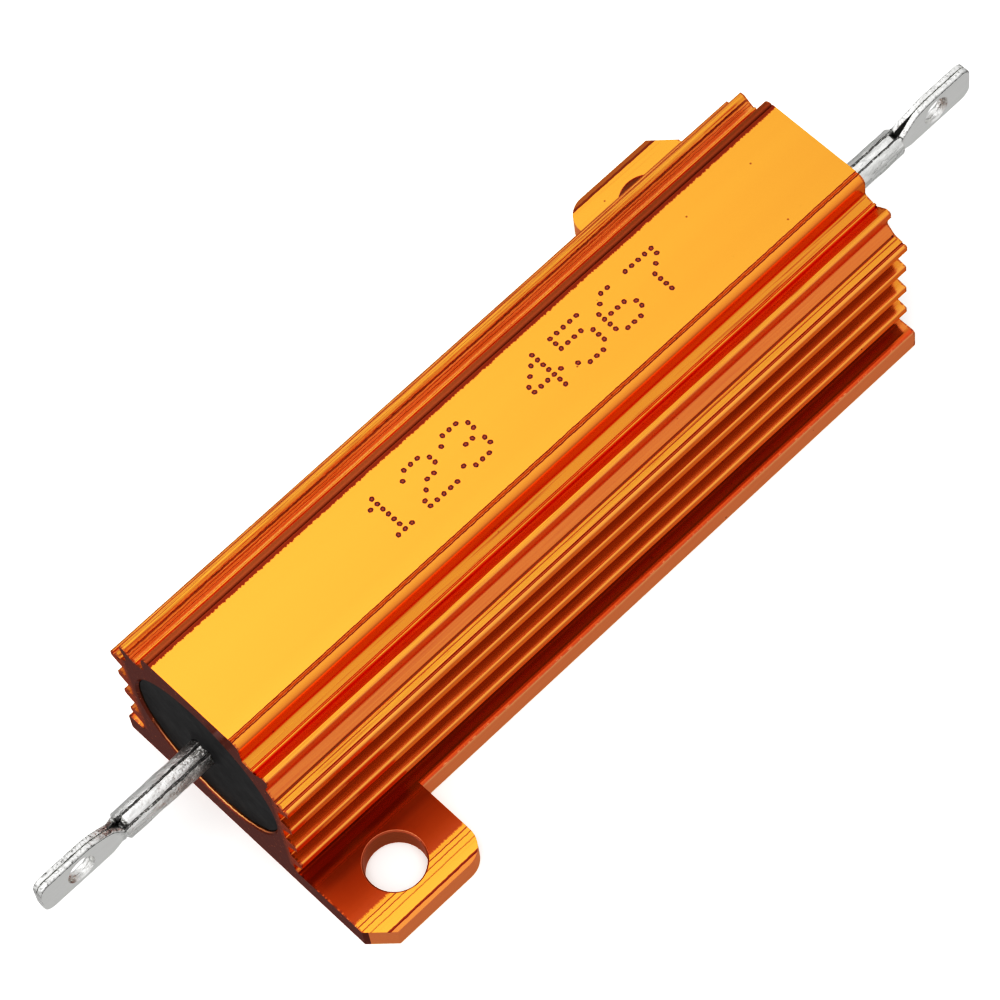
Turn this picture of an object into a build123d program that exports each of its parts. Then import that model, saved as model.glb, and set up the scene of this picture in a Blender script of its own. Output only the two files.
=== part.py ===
"""Aluminium housed power resistor with a finned extruded body, two mounting ears and two lug terminals.

X runs along the terminals, Y across the ears and Z up from the mounting face.
The origin lies on the mounting face, below the middle of the body.
"""
import os

from build123d import *

os.makedirs("parts", exist_ok=True)

# Housing, lengths in millimetres
body_length = 50.0
bore_diameter = 11.5
wall_below_bore = 1.85
wall_above_bore = 1.65
side_wall = 0.67
bore_edge_break = 0.15

# Crown and the channels beside it
channel_width = 2.05
crown_round = 0.62
shelf_drop = 1.75
shelf_width = 0.685
shelf_slope = 0.25
score_inset = 0.65
score_depth = 0.1
bead_radius = 0.1
bead_foot_round = 0.05
bead_groove = 0.06
shelf_round = 0.25

# Horn that rises beside the crown
horn_inset = 0.295
horn_drop = 1.5
horn_trough_drop = 2.1
horn_tip_height = 0.6
horn_flat_width = 0.35
horn_edge_fall = 0.05
horn_round = 0.12
neck_inset = 0.57
neck_round = 0.2

# Side fins
fin_count = 4
top_fin_drop = 3.9
low_fin_gap = 1.56
top_fin_depth = 0.98
fin_depth = 0.88
fin_tip_thickness = 0.55
fin_top_fall = 0.2
fin_underside_rise = 0.55
fin_round = 0.15
fin_top_round = 0.1
fin_root_round = 0.2
top_fin_groove = 0.09
outer_groove_inset = 0.3
inner_groove_inset = 0.75

# Foot and mounting ears
foot_depth = 1.53
base_thickness = 1.7
foot_round = 0.25
foot_edge_round = 0.05
root_radius = 0.35
ear_length = 8.75
ear_end_chamfer = 1.45
ear_inner_radius = 1.6
hole_diameter = 3.75
hole_root_gap = 0.345
hole_edge_width = 1.405
hole_edge_break = 0.1

# Filling in the bore
potting_recess = 0.3
potting_clearance = 0.03
collar_height = 0.25
collar_width = 0.6

# Ceramic core, winding and end caps
core_end_cover = 7.0
core_cover = 2.75
core_wall = 1.7
ribbon_width = 1.2
ribbon_thickness = 0.25
winding_turns = 7
cap_wall = 0.4
cap_depth = 3.0
inner_clearance = 0.04

# Terminals
barrel_diameter = 1.9
barrel_wall = 0.45
barrel_reach = 6.3
seam_gap = 0.1
terminal_offset = 0.4
lug_length = 6.15
lug_height = 3.15
lug_thickness = 0.7
lug_slit = 0.07
lug_taper_length = 1.9
lug_taper_round = 1.5
lug_neck_height = 2.1
lug_tip_round = 0.45
lug_hole_diameter = 1.9
lug_hole_inset = 2.9
transition_length = 0.7

# Levels and half widths that follow from the sizes above
half_length = body_length / 2
bore_radius = bore_diameter / 2
body_height = wall_below_bore + bore_diameter + wall_above_bore
bore_height = wall_below_bore + bore_radius
web_half = bore_radius + side_wall
shelf_level = body_height - shelf_drop
trough_level = body_height - horn_trough_drop
horn_level = body_height - horn_drop
top_fin_level = body_height - top_fin_drop
fin_pitch = (top_fin_level - fin_tip_thickness - low_fin_gap - base_thickness) / (fin_count - 1)
horn_half = web_half - horn_inset
neck_half = web_half - neck_inset
crown_half = horn_half - channel_width
top_fin_half = web_half + top_fin_depth
fin_half = web_half + fin_depth
foot_half = web_half + foot_depth
bead_offset = crown_half + shelf_width
hole_x = half_length - ear_length / 2
hole_y = foot_half + hole_root_gap + hole_diameter / 2
ear_reach = hole_y + hole_diameter / 2 + hole_edge_width
core_length = body_length - 2 * core_end_cover
barrel_end = half_length + barrel_reach
lug_end = barrel_end + lug_length


def fin_points(level, tip, thickness):
    """Return the four corners of one fin on the +Y side, from its top at the web to its underside."""
    return [
        (web_half, level + fin_top_fall),
        (tip, level),
        (tip, level - thickness),
        (web_half, level - thickness - fin_underside_rise),
    ]


# The right half of the section, from the middle of the crown down to the foot
half_outline = [
    (0, body_height),
    (crown_half, body_height),
    (crown_half, shelf_level),
    (bead_offset, shelf_level - shelf_slope),
    (bead_offset + 2 * bead_radius, trough_level),
    (horn_half - horn_flat_width, horn_level),
    (horn_half, horn_level - horn_edge_fall),
    (horn_half, horn_level - horn_tip_height),
    (neck_half, horn_level - 2 * horn_tip_height),
    (neck_half, horn_level - 2.6 * horn_tip_height),
]
corner_radii = [
    crown_round,
    shelf_round,
    bead_foot_round,
    horn_round,
    horn_round,
    horn_round,
    horn_round,
    neck_round,
    neck_round,
]
for index in range(fin_count):
    tip_half = top_fin_half if index == 0 else fin_half
    level = top_fin_level - index * fin_pitch
    half_outline += fin_points(level, tip_half, fin_tip_thickness)
    corner_radii += [fin_top_round, fin_round, fin_round, fin_root_round]
half_outline += [
    (web_half, base_thickness),
    (foot_half, base_thickness),
    (foot_half, 0),
    (0, 0),
]
corner_radii += [root_radius, foot_round, foot_edge_round]

with BuildPart() as housing:
    # Extruded section with its small beads and scored lines
    with BuildSketch(Plane.YZ.offset(-half_length)) as section:
        with BuildLine():
            FilletPolyline(*half_outline, radius=corner_radii)
            mirror(about=Plane.YZ)
        make_face()
        for side in (-1, 1):
            with Locations((side * (bead_offset + bead_radius), trough_level + bead_radius)):
                Circle(bead_radius)
            with Locations((side * (bead_offset - bead_groove / 2), shelf_level - shelf_slope + bead_groove / 2)):
                Circle(bead_groove, mode=Mode.SUBTRACT)
            with Locations((side * (crown_half - score_inset), body_height)):
                Rectangle(score_depth * 1.4, score_depth * 1.4, rotation=45, mode=Mode.SUBTRACT)
            for inset in (outer_groove_inset, inner_groove_inset):
                groove_spot = (side * (top_fin_half - inset), top_fin_level + top_fin_groove / 2)
                with Locations(groove_spot):
                    Circle(top_fin_groove, mode=Mode.SUBTRACT)
    extrude(amount=body_length)

    # Two ears left on opposite corners of the foot
    with BuildSketch(Plane.XY) as ears:
        with BuildLine():
            Polyline(
                (-half_length + ear_length, 0),
                (-half_length, 0),
                (-half_length, -ear_reach + ear_end_chamfer),
                (-half_length + ear_end_chamfer, -ear_reach),
            )
            FilletPolyline(
                (-half_length + ear_end_chamfer, -ear_reach),
                (-half_length + ear_length, -ear_reach),
                (-half_length + ear_length, 0),
                radius=ear_inner_radius,
            )
        make_face()
        add(ears.sketch, rotation=180)
    extrude(amount=base_thickness)

    # Bore for the resistance element, its edges broken at both ends
    with BuildSketch(Plane.YZ.offset(-half_length)):
        with Locations((0, bore_height)):
            Circle(bore_radius)
    extrude(amount=body_length, mode=Mode.SUBTRACT)
    bore_rims = housing.edges().filter_by(GeomType.CIRCLE).filter_by(
        lambda edge: abs(edge.radius - bore_radius) < 1e-6
    )
    chamfer(bore_rims, bore_edge_break)

    # Mounting holes in the middle of each ear's length
    with Locations((-hole_x, -hole_y, base_thickness), (hole_x, hole_y, base_thickness)):
        Hole(hole_diameter / 2, depth=base_thickness)
    hole_rims = housing.edges().filter_by(GeomType.CIRCLE).filter_by(
        lambda edge: abs(edge.radius - hole_diameter / 2) < 1e-6
    )
    chamfer(hole_rims, hole_edge_break)

# Radii that the inner pieces share
core_radius = bore_radius - core_cover
winding_radius = core_radius + inner_clearance + ribbon_thickness / 2
cap_radius = core_radius + inner_clearance + cap_wall
pocket_radius = max(winding_radius + ribbon_thickness / 2, cap_radius) + inner_clearance
cap_face = core_length / 2 + cap_wall
potting_face = half_length - potting_recess
barrel_radius = barrel_diameter / 2

with BuildPart() as potting:
    # Cast filling with a closed pocket for the element
    with BuildSketch(Plane.YZ.offset(-potting_face)):
        with Locations((0, bore_height)):
            Circle(bore_radius - potting_clearance)
    extrude(amount=2 * potting_face)
    with BuildSketch(Plane.YZ.offset(-cap_face - inner_clearance)):
        with Locations((0, bore_height)):
            Circle(pocket_radius)
    extrude(amount=2 * (cap_face + inner_clearance), mode=Mode.SUBTRACT)

    # Raised collar and way out for each terminal
    for side in (-1, 1):
        outlet = Plane(origin=(side * potting_face, -side * terminal_offset, bore_height), z_dir=(side, 0, 0))
        with Locations(outlet):
            Cone(
                barrel_radius + collar_width,
                barrel_radius + inner_clearance,
                collar_height,
                align=(Align.CENTER, Align.CENTER, Align.MIN),
            )
        with Locations(outlet.offset(cap_face - potting_face)):
            Cylinder(
                barrel_radius + inner_clearance,
                half_length,
                align=(Align.CENTER, Align.CENTER, Align.MIN),
                mode=Mode.SUBTRACT,
            )

with BuildPart() as ceramic_core:
    # Hollow ceramic rod
    with BuildSketch(Plane.YZ.offset(-core_length / 2)):
        with Locations((0, bore_height)):
            Circle(core_radius)
            Circle(core_radius - core_wall, mode=Mode.SUBTRACT)
    extrude(amount=core_length)

with BuildPart() as resistance_winding:
    # One helix of flat ribbon from cap to cap
    wound_length = core_length - 2 * cap_depth - 2 * inner_clearance - ribbon_width
    with BuildLine() as ribbon_path:
        Helix(
            pitch=wound_length / winding_turns,
            height=wound_length,
            radius=winding_radius,
            center=(-wound_length / 2, 0, bore_height),
            direction=(1, 0, 0),
        )
    start_plane = Plane(origin=ribbon_path.line @ 0, x_dir=(1, 0, 0), z_dir=ribbon_path.line % 0)
    with BuildSketch(start_plane):
        Rectangle(ribbon_width, ribbon_thickness)
    sweep(path=ribbon_path.line, is_frenet=True)

with BuildPart() as end_cap_far:
    # Drawn cup over the end of the core
    with BuildSketch(Plane.YZ.offset(core_length / 2 - cap_depth)):
        with Locations((0, bore_height)):
            Circle(cap_radius)
    extrude(amount=cap_depth + cap_wall)
    with BuildSketch(Plane.YZ.offset(core_length / 2 - cap_depth)):
        with Locations((0, bore_height)):
            Circle(core_radius + inner_clearance)
    extrude(amount=cap_depth, mode=Mode.SUBTRACT)
    chamfer(end_cap_far.edges().group_by(Axis.X)[-1], cap_wall * 0.6)

with BuildPart() as end_cap_near:
    add(end_cap_far.part.rotate(Axis.Z, 180))

neck_end = barrel_end + transition_length
lug_low = bore_height - lug_height / 2
lug_high = bore_height + lug_height / 2
neck_low = bore_height - lug_neck_height / 2
neck_high = bore_height + lug_neck_height / 2

with BuildPart() as terminal:
    # Rolled barrel with its seam on top
    with BuildSketch(Plane.YZ.offset(cap_face)):
        with Locations((0, bore_height)):
            Circle(barrel_radius)
            Circle(barrel_radius - barrel_wall, mode=Mode.SUBTRACT)
        with Locations((0, bore_height + barrel_radius)):
            Rectangle(seam_gap, 2 * barrel_wall + seam_gap, mode=Mode.SUBTRACT)
    extrude(amount=barrel_end - cap_face)

    # Neck where the tube closes to a double plate
    with BuildSketch(Plane.YZ.offset(barrel_end - seam_gap)):
        with Locations((0, bore_height)):
            Circle(barrel_radius - seam_gap)
    with BuildSketch(Plane.YZ.offset(neck_end)):
        with Locations((0, bore_height)):
            RectangleRounded(lug_thickness, lug_neck_height, lug_thickness * 0.4)
    loft()

    # Upright lug with a rounded tip
    with BuildSketch(Plane.XZ) as lug_side:
        with BuildLine():
            FilletPolyline(
                (neck_end, neck_low),
                (neck_end + lug_taper_length, lug_low),
                (lug_end, lug_low),
                (lug_end, lug_high),
                (neck_end + lug_taper_length, lug_high),
                (neck_end, neck_high),
                radius=[lug_taper_round, lug_tip_round, lug_tip_round, lug_taper_round],
            )
            Line((neck_end, neck_high), (neck_end, neck_low))
        make_face()
    extrude(amount=lug_thickness / 2, both=True)

    # Hollow end of the tube, open on top, running out into the slit between the two layers
    with BuildSketch(Plane.YZ.offset(barrel_end - 2 * seam_gap)):
        with Locations((0, bore_height)):
            Circle(barrel_radius - barrel_wall)
    with BuildSketch(Plane.YZ.offset(neck_end)):
        with Locations((0, bore_height)):
            Rectangle(lug_slit, lug_neck_height / 2)
    loft(mode=Mode.SUBTRACT)
    with BuildSketch(Plane.XY.offset(bore_height)):
        with BuildLine():
            Polyline(
                (barrel_end, -barrel_radius + barrel_wall),
                (neck_end + transition_length, -lug_slit / 2),
                (lug_end + lug_thickness, -lug_slit / 2),
                (lug_end + lug_thickness, lug_slit / 2),
                (neck_end + transition_length, lug_slit / 2),
                (barrel_end, barrel_radius - barrel_wall),
                close=True,
            )
        make_face()
    extrude(amount=lug_height, mode=Mode.SUBTRACT)
    with Locations((neck_end + lug_height / 2, 0, bore_height - lug_neck_height / 2 + barrel_wall)):
        Box(
            lug_end,
            lug_slit,
            lug_height,
            align=(Align.MIN, Align.CENTER, Align.MIN),
            mode=Mode.SUBTRACT,
        )

    # Hole for the wire
    with Locations(Plane(origin=(lug_end - lug_hole_inset, -lug_thickness / 2, bore_height), z_dir=(0, -1, 0))):
        Hole(lug_hole_diameter / 2, depth=lug_thickness)

# The two terminals stand to opposite sides of the bore's axis
with BuildPart() as terminal_far:
    add(terminal.part.moved(Location((0, -terminal_offset, 0))))

with BuildPart() as terminal_near:
    add(terminal_far.part.rotate(Axis.Z, 180))

pieces = {
    "housing": housing,
    "potting": potting,
    "ceramic_core": ceramic_core,
    "resistance_winding": resistance_winding,
    "end_cap_near": end_cap_near,
    "end_cap_far": end_cap_far,
    "terminal_near": terminal_near,
    "terminal_far": terminal_far,
}
for name, piece in pieces.items():
    piece.part.label = name
    export_step(piece.part, f"parts/{name}.step")
    print(name, round(piece.part.volume, 2), len(piece.part.solids()), piece.part.is_valid)
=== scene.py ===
"""Aluminium housed power resistor: finishes, printed digits, rolled terminals, filling and studio.

All sizes in the classes are millimetres in the frame of the CAD model: X along the terminals,
Y across the ears, Z up from the mounting face.
"""

import logging
import math
from dataclasses import dataclass
from enum import Enum

import bmesh
import bpy
import numpy as np
from mathutils import Euler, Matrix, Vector

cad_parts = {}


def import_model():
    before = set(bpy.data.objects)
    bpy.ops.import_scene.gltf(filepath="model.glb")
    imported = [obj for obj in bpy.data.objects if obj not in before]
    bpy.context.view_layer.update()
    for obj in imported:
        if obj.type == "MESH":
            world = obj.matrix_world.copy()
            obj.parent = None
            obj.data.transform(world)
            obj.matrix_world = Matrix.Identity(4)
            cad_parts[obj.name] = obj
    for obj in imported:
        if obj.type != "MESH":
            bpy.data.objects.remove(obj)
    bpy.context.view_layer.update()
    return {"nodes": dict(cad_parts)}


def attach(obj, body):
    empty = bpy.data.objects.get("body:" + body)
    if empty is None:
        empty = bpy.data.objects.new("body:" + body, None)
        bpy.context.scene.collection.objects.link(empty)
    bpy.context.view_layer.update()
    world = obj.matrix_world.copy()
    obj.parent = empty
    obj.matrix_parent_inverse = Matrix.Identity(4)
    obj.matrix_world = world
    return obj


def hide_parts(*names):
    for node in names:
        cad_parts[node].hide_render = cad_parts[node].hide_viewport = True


MM = 0.001
# The span that holds nearly all values of a noise.
MOST = (0.3, 0.7)
LOG = logging.getLogger("resistor")
Socket = bpy.types.NodeSocket
# Place, half width and darkness of each line in a group.
Lines = tuple[tuple[float, float, float], ...]


class Axis(Enum):
    """Directions that a pattern can run in, as the scale that stretches it."""

    ALONG_X = (0.02, 1.0, 1.0)
    ALONG_Y = (1.0, 0.02, 1.0)
    STREAKED = (0.28, 1.0, 1.0)
    EVEN = (1.0, 1.0, 1.0)


class Kind(Enum):
    """The kinds of node that the finishes and the sky are made of."""

    PLACE = "ShaderNodeTexCoord"
    FACING = "ShaderNodeNewGeometry"
    VERTEX_MAP = "ShaderNodeUVMap"
    STRETCH = "ShaderNodeMapping"
    NOISE = "ShaderNodeTexNoise"
    CELLS = "ShaderNodeTexVoronoi"
    SHADE = "ShaderNodeAmbientOcclusion"
    SPLIT = "ShaderNodeSeparateXYZ"
    VECTOR = "ShaderNodeVectorMath"
    MATH = "ShaderNodeMath"
    RANGE = "ShaderNodeMapRange"
    MIX = "ShaderNodeMix"
    BUMP = "ShaderNodeBump"
    SURFACE = "ShaderNodeBsdfPrincipled"
    SURFACE_END = "ShaderNodeOutputMaterial"
    SKY = "ShaderNodeBackground"
    SKY_END = "ShaderNodeOutputWorld"


def linear(code: str) -> tuple[float, float, float, float]:
    """Turns an sRGB hex colour into linear values.

    Args:
        code: Six hex digits, such as "F9AE31".

    Returns:
        Linear red, green, blue and an alpha of one.
    """
    parts = [int(code[i : i + 2], 16) / 255 for i in (0, 2, 4)]
    values = [c / 12.92 if c <= 0.04045 else ((c + 0.055) / 1.055) ** 2.4 for c in parts]
    return (values[0], values[1], values[2], 1.0)


@dataclass(frozen=True)
class Pattern:
    """The nodes of one finish, and what is joined from them: masks, streaks and layers of colour."""

    tree: bpy.types.NodeTree

    def add(self, kind: Kind, *values: object, output: int | str = 0, **named: object) -> Socket | None:
        """Adds one node, with its settings, constant inputs and links.

        Args:
            kind: Kind of node.
            *values: Constant or output socket for each input in turn, or None to leave it as it is.
            output: Number or name of the output that is wanted.
            **named: Inputs and settings by their own names.

        Returns:
            That output, or None where the node has none.
        """
        node = self.tree.nodes.new(kind.value)
        fed = {place: value for place, value in enumerate(values) if value is not None}
        for name, value in named.items():
            if name in node.inputs:
                fed[name] = value
            else:
                setattr(node, name, value)
        for place, value in fed.items():
            if isinstance(value, Socket):
                self.tree.links.new(value, node.inputs[place])
            else:
                node.inputs[place].default_value = value
        return node.outputs[output] if node.outputs else None

    def place(self) -> Socket:
        """Returns the object position in millimetres."""
        metres = self.add(Kind.PLACE, output="Object")
        return self.add(Kind.VECTOR, metres, None, None, 1 / MM, operation="SCALE")

    def streaks(self, place: Socket, width: float, axis: Axis = Axis.EVEN, detail: float = 2.0) -> Socket:
        """Returns noise between 0 and 1 that is drawn out along an axis.

        Args:
            place: Position in millimetres.
            width: Width of one streak in millimetres.
            axis: Direction that the streaks run in.
            detail: Number of finer layers.

        Returns:
            The value.
        """
        stretched = self.add(Kind.STRETCH, place, None, None, axis.value)
        return self.add(Kind.NOISE, stretched, None, 1 / width, detail, 0.55)

    def dots(self, place: Socket, spacing: float, empty: float, core: float, rim: float) -> Socket:
        """Returns a mask of scattered round dots.

        Args:
            place: Position in millimetres.
            spacing: Millimetres from one place for a dot to the next.
            empty: Share of the places without one.
            core: Full radius of a dot, as a part of the spacing.
            rim: Radius at which it has faded out.

        Returns:
            A value of 1 on the dots.
        """
        away = self.add(Kind.CELLS, place, None, 1 / spacing)
        chance = self.add(Kind.SPLIT, away.node.outputs["Color"])
        dot = self.add(Kind.RANGE, away, core, rim, 1.0, 0.0)
        return self.both(self.within(chance, empty), dot)

    def joined(self, operation: str, values: tuple) -> Socket:
        """Returns all values joined in turn by one arithmetic operation."""
        result = values[0]
        for value in values[1:]:
            result = self.add(Kind.MATH, result, value, operation=operation)
        return result

    def both(self, *masks: object) -> Socket:
        """Returns the product of masks and shares: what is left where all of them overlap."""
        return self.joined("MULTIPLY", masks)

    def either(self, *masks: object) -> Socket:
        """Returns the greatest of the masks at each point."""
        return self.joined("MAXIMUM", masks)

    def total(self, *values: object) -> Socket:
        """Returns the sum of places or heights."""
        return self.joined("ADD", values)

    def away(self, place: Socket, centre: float = 0.0) -> Socket:
        """Returns the distance of a place from a centre."""
        if centre:
            place = self.add(Kind.MATH, place, centre, operation="SUBTRACT")
        return self.add(Kind.MATH, place, operation="ABSOLUTE")

    def off(self, mask: Socket, left: float = 0.0) -> Socket:
        """Returns 1 off a mask and the share that is left on it."""
        return self.add(Kind.RANGE, mask, 0.0, 1.0, 1.0, left)

    def within(self, value: Socket, low: float | None = None, high: float | None = None) -> Socket:
        """Returns 1 where the value is above low and below high, where these are given."""
        limits = (("GREATER_THAN", low), ("LESS_THAN", high))
        sides = [self.joined(test, (value, limit)) for test, limit in limits if limit is not None]
        return self.both(*sides)

    def line(self, place: Socket, centre: float, half: float) -> Socket:
        """Returns 1 on a line at that place, falling to 0 past its half width."""
        return self.add(Kind.RANGE, self.away(place, centre), half * 0.6, half * 1.3, 1.0, 0.0)

    def layered(self, ground: str | Socket, *layers: tuple) -> Socket:
        """Lays colours over one another.

        Args:
            ground: Lowest colour, as hex digits or a socket.
            *layers: Colour, mask and, where it isn't 1, strength of each layer, from the lowest up.

        Returns:
            The colour on top.
        """
        for coat, share, *strength in layers:
            share = self.both(share, *strength)
            pair = [linear(c) if isinstance(c, str) else c for c in (ground, coat)]
            # A mix node has five inputs for numbers and vectors between its share and its two colours.
            ground = self.add(Kind.MIX, share, *[None] * 5, *pair, output=2, data_type="RGBA")
        return ground

    def finish(
        self, inputs: dict[str, object], height: object = 0.0, depth: float = 0.0, share: float = 1.0
    ) -> None:
        """Adds the relief, the surface shader and the material's end.

        Args:
            inputs: Constant or socket for each input of the shader, by its name.
            height: Height of the relief between 0 and 1.
            depth: Its real depth in millimetres.
            share: Part of the depth that is seen.
        """
        if depth:
            normal = self.add(Kind.BUMP, Height=height, Distance=depth * MM, Strength=share)
            inputs = {**inputs, "Normal": normal}
        self.add(Kind.SURFACE_END, self.add(Kind.SURFACE, **inputs))


def start_pattern(owner: bpy.types.Material | bpy.types.World) -> Pattern:
    """Clears the nodes of a material or world and returns the pattern on them."""
    owner.use_nodes = True
    owner.node_tree.nodes.clear()
    return Pattern(owner.node_tree)


def start_material(name: str) -> tuple[bpy.types.Material, Pattern]:
    """Returns a new empty material and the pattern on its nodes."""
    material = bpy.data.materials.new(name)
    return material, start_pattern(material)


@dataclass(frozen=True)
class Spot:
    """Where a point of the housing lies, which way it faces, and the noise that its marks share."""

    place: Socket
    x: Socket
    y: Socket
    z: Socket
    half_x: Socket
    half_y: Socket
    facing_x: Socket
    facing_z: Socket
    lines: Socket
    fine: Socket
    grit: Socket
    wander: Socket
    comb: Socket


@dataclass(frozen=True)
class AnodisedAluminium:
    """Extruded aluminium alloy, anodised and dyed gold.

    The dye sits in a thin clear oxide over bright metal, so light that bounces between two faces
    turns from gold to deep red. The die leaves fine lines along X, painted shade darkens the scored
    lines, and the sawn ends are rough and brown, their darkness partly painted shade. The colour
    also paints shade in recesses, bounce light in hollows and highlights on lit edges.
    """

    # Colours, from the open faces to the cuts.
    gold: str = "ECA14A"
    deep: str = "DD8C3C"
    # Painted shade where the housing is occluded: in recesses, and lighter on the shelf above the fins.
    recess_shade: str = "B25C28"
    shelf_shade: str = "DC8440"
    # Painted shadow on the ear tops next to the fins.
    painted_fin_shadow: str = "80280C"
    # Painted bounce light: a deep orange red in the most occluded hollows, off the ears.
    hollow_bounce_light: str = "EE6C34"
    line_dark: str = "8A3814"
    # Lighter streaks on the horn slope and the burrs, and painted highlight on the fin noses.
    streak_and_highlight: str = "F8A460"
    # Painted shade in the scored lines, grooves and creases, which are also cut in the relief.
    scored: str = "741A06"
    # Painted shade in the score groove by the near crown edge: a tone darker than the crown.
    groove: str = "D68E44"
    # The ears' rolled outer edge: this colour on the near ear, painted shade on the far one.
    rolled: str = "C8784C"
    shaded_far_roll: str = "7C4A20"
    cut_edge: str = "F4B48A"
    # Painted glow on the foot's rounded rim.
    painted_rim_glow: str = "E06A34"
    # Drilled hole walls: darker than the cut sides, partly as painted shade in the hole.
    drilled_and_shaded: str = "B0664A"
    # Painted highlight on the neck wall between the horn and the top fin.
    neck: str = "F49A60"
    # Painted reflection of the fins: a darker inner zone on the ear tops.
    ear_fin_reflection: str = "AE5226"
    # Painted shade and highlight across the far crown edge: dark by the crown, lighter outwards.
    far_edge_shade: str = "842A06"
    far_edge_highlight: str = "E89C60"
    # Painted highlight on the rounded near edge of the crown.
    lip_highlight: str = "FFA250"
    # Painted glint along the horn's bead.
    bead_glint: str = "FFD49A"
    nick: str = "F4A078"
    edge: str = "FFB45A"
    # Cut finish of the sawn ends; its dark brown is partly painted shade.
    sawn_and_shaded: str = "94503C"
    sawn_glint: str = "F0A468"
    fin_sawn: str = "E08850"
    # Painted highlight along the lower rim of the bore.
    painted_rim_highlight: str = "F0BC88"
    speck: str = "5A2208"
    speck_spacing: float = 1.25
    # Roughness of each kind of face.
    roughness: float = 0.17
    roughness_spread: float = 0.06
    crown_roughness: float = 0.2
    ear_roughness: float = 0.14
    matt_roughness: float = 0.48
    sawn_roughness: float = 0.55
    fin_sawn_roughness: float = 0.35
    # Places and sizes on the part, in millimetres.
    shade_reach: float = 2.0
    relief_depth: float = 0.025
    half_length: float = 25.0
    crown_level: float = 15.0
    crown_half: float = 4.075
    top_fin_level: float = 11.1
    score: tuple[float, float] = (3.34, 3.58)
    # Span across Y of the painted far crown edge, and the X span over which it darkens.
    far_edge_span: tuple[float, float] = (3.08, 4.2)
    far_edge_fade: tuple[float, float] = (-5.0, 20.0)
    score_lines: Lines = ((-3.58, 0.0312, 1.0), (-3.34, 0.026, 1.0))
    horn_lines: Lines = ((5.5, 0.055, 0.8), (5.34, 0.02, 0.6), (5.2, 0.02, 0.6))
    fin_lines: Lines = ((6.42, 0.052, 0.85), (7.1, 0.07, 0.85), (6.66, 0.02, 0.6))
    roll_lines: Lines = ((13.1, 0.06, 1.0),)
    ear_lines: Lines = ((11.62, 0.026, 0.8), (11.95, 0.026, 0.6), (12.35, 0.026, 0.4))
    horn_foot: float = 12.85
    horn_slope: tuple[float, float] = (5.04, 5.54)
    bead: float = 5.0
    bead_half: float = 0.1
    neck_half: float = 5.78
    neck_levels: tuple[float, float] = (11.3, 13.5)
    fin_half: float = 7.3
    trough_mouth: float = 7.5
    ear_level: float = 1.7
    foot_half: float = 7.95
    # Span across Y of the painted shadow on the ear tops.
    fin_shadow_band: tuple[float, float] = (8.1, 8.9)
    ear_roll: float = 13.1
    ear_start: float = 16.25
    ear_reflection_edge: float = 11.3
    hole_place: tuple[float, float] = (20.625, 10.17)
    hole_radius: float = 1.95
    bore_radius: float = 5.75
    bore_height: float = 7.6
    burr: float = 0.13

    def spot(self, pattern: Pattern) -> Spot:
        """Returns the place, facing and shared noise of a point.

        The shared noise is the die's lines, still finer lines, grit, a small shift that makes lines
        ragged, and the teeth along the borders of painted shade.
        """
        add, streaks = pattern.add, pattern.streaks
        place = pattern.place()
        x, y, z = add(Kind.SPLIT, place).node.outputs
        facing_x, _, facing_z = add(Kind.SPLIT, add(Kind.FACING, output="Normal")).node.outputs
        return Spot(
            place=place,
            x=x,
            y=y,
            z=z,
            half_x=pattern.away(x),
            half_y=pattern.away(y),
            facing_x=facing_x,
            facing_z=facing_z,
            lines=streaks(place, 0.16, Axis.ALONG_X, 3.0),
            fine=streaks(place, 0.07, Axis.ALONG_X),
            grit=streaks(place, 0.25, Axis.EVEN, 4.0),
            wander=add(Kind.RANGE, streaks(place, 0.35), *MOST, -0.016, 0.016),
            comb=add(Kind.RANGE, streaks(place, 0.1, Axis.ALONG_Y, 5.0), 0.35, 0.8, -0.02, 0.13),
        )

    def scored_lines(self, pattern: Pattern, at: Spot) -> Socket:
        """Returns the mask of the lines of painted shade beside the crown, on the horn, the fins and the
        ears.

        Args:
            pattern: Nodes of the finish.
            at: Place of the point.

        Returns:
            A value of 1 on the lines.
        """
        both, line = pattern.both, pattern.line
        ragged = pattern.total(at.y, at.wander)
        half_ragged = pattern.away(ragged)
        near_side = both(ragged, pattern.within(at.y, high=0.0))
        near_side = pattern.away(near_side)
        groups = (
            (ragged, self.score_lines, pattern.within(at.z, self.crown_level - 0.2)),
            (ragged, self.horn_lines, pattern.within(at.z, self.horn_foot)),
            (at.half_y, self.fin_lines, line(at.z, self.top_fin_level + 0.2, 0.3)),
            (half_ragged, self.roll_lines, line(at.z, self.ear_level, 0.07)),
            (near_side, self.ear_lines, line(at.z, self.ear_level, 0.07)),
        )
        marks = [
            both(line(place, spot, half), share, zone)
            for place, lines, zone in groups
            for spot, half, share in lines
        ]
        return pattern.either(*marks)

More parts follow.
